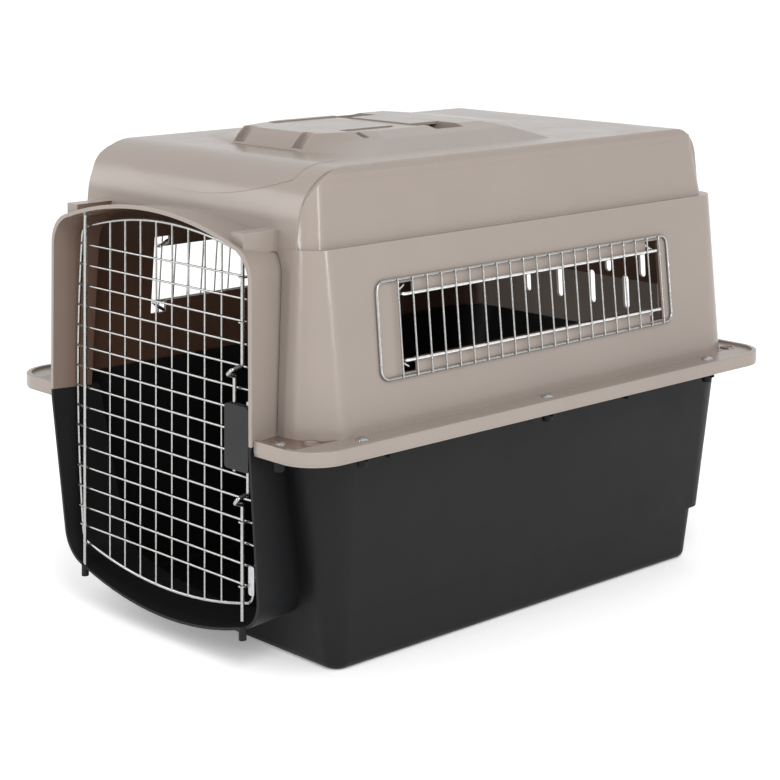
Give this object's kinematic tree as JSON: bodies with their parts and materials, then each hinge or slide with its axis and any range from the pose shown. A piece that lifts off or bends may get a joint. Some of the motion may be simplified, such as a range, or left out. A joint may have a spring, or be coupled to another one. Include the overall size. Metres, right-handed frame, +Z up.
{
  "type": "pet transport carrier",
  "caption": "Two-shell plastic pet transport carrier with a hinged wire door, twin-rod squeeze latch, wire side grilles, rear vent slots, bolted rim and a roof handle.",
  "frame": {"origin": "on the floor, under the middle of the overall length and width", "axes": "+X to the right seen from the door side, +Y from the door to the back, +Z up"},
  "size_m": [0.5716, 0.806, 0.58],
  "materials": {
    "top_plastic": "satin moulded polypropylene, taupe",
    "base_plastic": "satin moulded polypropylene, black",
    "zinc_wire": "bright zinc-plated steel wire",
    "grille_wire": "zinc-plated steel wire",
    "grille_bar": "bright zinc-plated steel bar",
    "latch_plastic": "matte dark grey plastic",
    "fastener_steel": "zinc-plated steel",
    "spring_steel": "bright spring wire",
    "nut_plastic": "matte black plastic"
  },
  "bodies": {
    "base": {"base_shell": "base_plastic", "wing_nuts": "nut_plastic"},
    "top": {"top_shell": "top_plastic", "rim_bolts": "fastener_steel", "right_grille_frame": "grille_wire", "left_grille_frame": "grille_wire", "right_grille_wires": "grille_wire", "left_grille_wires": "grille_wire", "right_grille_bars": "grille_bar", "left_grille_bars": "grille_bar"},
    "handle": {"carry_handle": "top_plastic"},
    "door": {"door_frame_wire": "zinc_wire", "door_horizontal_wires": "zinc_wire", "door_vertical_wires": "zinc_wire", "door_hinge_rod": "zinc_wire", "door_rod_guides": "zinc_wire", "latch_cover": "latch_plastic", "latch_back_plate": "latch_plastic", "latch_screws": "fastener_steel", "latch_upper_spring": "spring_steel", "latch_lower_spring": "spring_steel", "door_corner_clip": "fastener_steel"},
    "upper_latch": {"latch_upper_rod": "zinc_wire"},
    "lower_latch": {"latch_lower_rod": "zinc_wire"}
  },
  "joints": [
    {"name": "top_lift", "type": "slide", "parent": "base", "child": "top", "axis": [0, 0, 1], "range_m": [0, 0.32]},
    {"name": "handle_swing", "type": "hinge", "parent": "top", "child": "handle", "pos_m": [0, -0.14, 0.574], "axis": [1, 0, 0], "range_deg": [0, 95]},
    {"name": "door_swing", "type": "hinge", "parent": "base", "child": "door", "pos_m": [-0.151, -0.3814, 0.27], "axis": [0, 0, -1], "range_deg": [0, 110]},
    {"name": "latch_upper_slide", "type": "slide", "parent": "door", "child": "upper_latch", "axis": [0, 0, 1], "range_m": [-0.012, 0.01], "deforming": ["latch_upper_spring"]},
    {"name": "latch_lower_slide", "type": "slide", "parent": "door", "child": "lower_latch", "axis": [0, 0, 1], "range_m": [-0.01, 0.012], "deforming": ["latch_lower_spring"]}
  ],
  "couplings": [
    {"joint": "latch_lower_slide", "follows": "latch_upper_slide", "ratio": -1}
  ]
}
